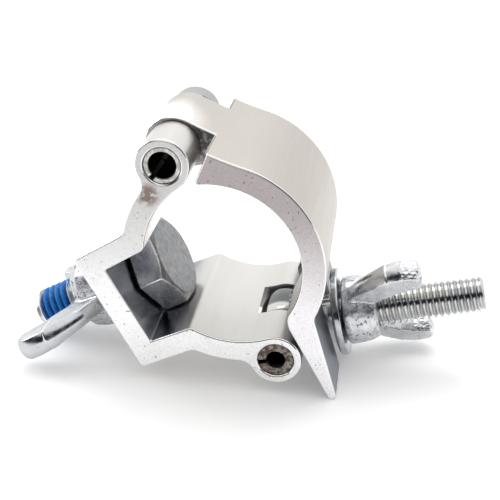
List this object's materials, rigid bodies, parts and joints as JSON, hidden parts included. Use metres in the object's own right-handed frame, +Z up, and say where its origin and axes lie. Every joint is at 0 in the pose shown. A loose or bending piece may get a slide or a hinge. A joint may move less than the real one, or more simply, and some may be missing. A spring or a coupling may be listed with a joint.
{
  "type": "pipe clamp",
  "caption": "Hinged aluminium half coupler for a stage pipe, closed by a swing bolt and wing nut, with a hex mounting bolt in its channel.",
  "frame": {"origin": "middle of the footprint, at the floor, with the clamp lying on its mounting bolt's end and its strap's tail", "axes": "+X from the mounting bolt to the swing bolt, +Y along the tube that the clamp holds, +Z up"},
  "size_m": [0.0956, 0.0374, 0.0528],
  "materials": {
    "saddle_aluminium": "satin mill finish",
    "strap_aluminium": "satin, slightly warm",
    "zinc_plate": "bright zinc plate over steel, rough where cast",
    "pin_steel": "dull spring steel with grime",
    "blue_nylon": "semi-matte"
  },
  "bodies": {
    "saddle": {"saddle": "saddle_aluminium", "hinge_roll_pin": "pin_steel", "pivot_roll_pin": "pin_steel", "mounting_bolt": "zinc_plate", "thread_lock_patch": "blue_nylon"},
    "strap": {"strap": "strap_aluminium"},
    "swing_bolt": {"swing_bolt": "zinc_plate"},
    "swing_washer": {"swing_washer": "zinc_plate"},
    "swing_wing_nut": {"swing_wing_nut": "zinc_plate"},
    "mounting_washer": {"mounting_washer": "zinc_plate"},
    "mounting_wing_nut": {"mounting_wing_nut": "zinc_plate"}
  },
  "joints": [
    {"name": "strap_hinge", "type": "hinge", "parent": "saddle", "child": "strap", "pos_m": [-0.01546, 0, 0.04686], "axis": [0, -1, 0], "range_deg": [0, 14.5]},
    {"name": "swing_bolt_pivot", "type": "hinge", "parent": "saddle", "child": "swing_bolt", "pos_m": [0.00672, 0, 0.00782], "axis": [0, 1, 0], "range_deg": [0, 60]},
    {"name": "swing_nut_travel", "type": "slide", "parent": "swing_bolt", "child": "swing_washer", "axis": [0.9707, 0, 0.2403], "range_m": [0, 0.0175]},
    {"name": "swing_nut_spin", "type": "hinge", "parent": "swing_washer", "child": "swing_wing_nut", "pos_m": [0.02031, 0, 0.01118], "axis": [0.9707, 0, 0.2403], "range_deg": [0, 5040]},
    {"name": "mounting_nut_travel", "type": "slide", "parent": "saddle", "child": "mounting_washer", "axis": [-0.8694, 0, -0.494], "range_m": [0, 0.0105]},
    {"name": "mounting_nut_spin", "type": "hinge", "parent": "mounting_washer", "child": "mounting_wing_nut", "pos_m": [-0.02958, 0, 0.01301], "axis": [-0.8694, 0, -0.494], "range_deg": [0, 2520]}
  ],
  "couplings": [
    {"joint": "swing_nut_spin", "follows": "swing_nut_travel", "rad_per_m": 5026.5},
    {"joint": "strap_hinge", "follows": "swing_nut_travel", "rad_per_m": 14.461},
    {"joint": "swing_bolt_pivot", "follows": "swing_nut_travel", "rad_per_m": 59.839},
    {"joint": "mounting_nut_spin", "follows": "mounting_nut_travel", "rad_per_m": 4188.8}
  ]
}
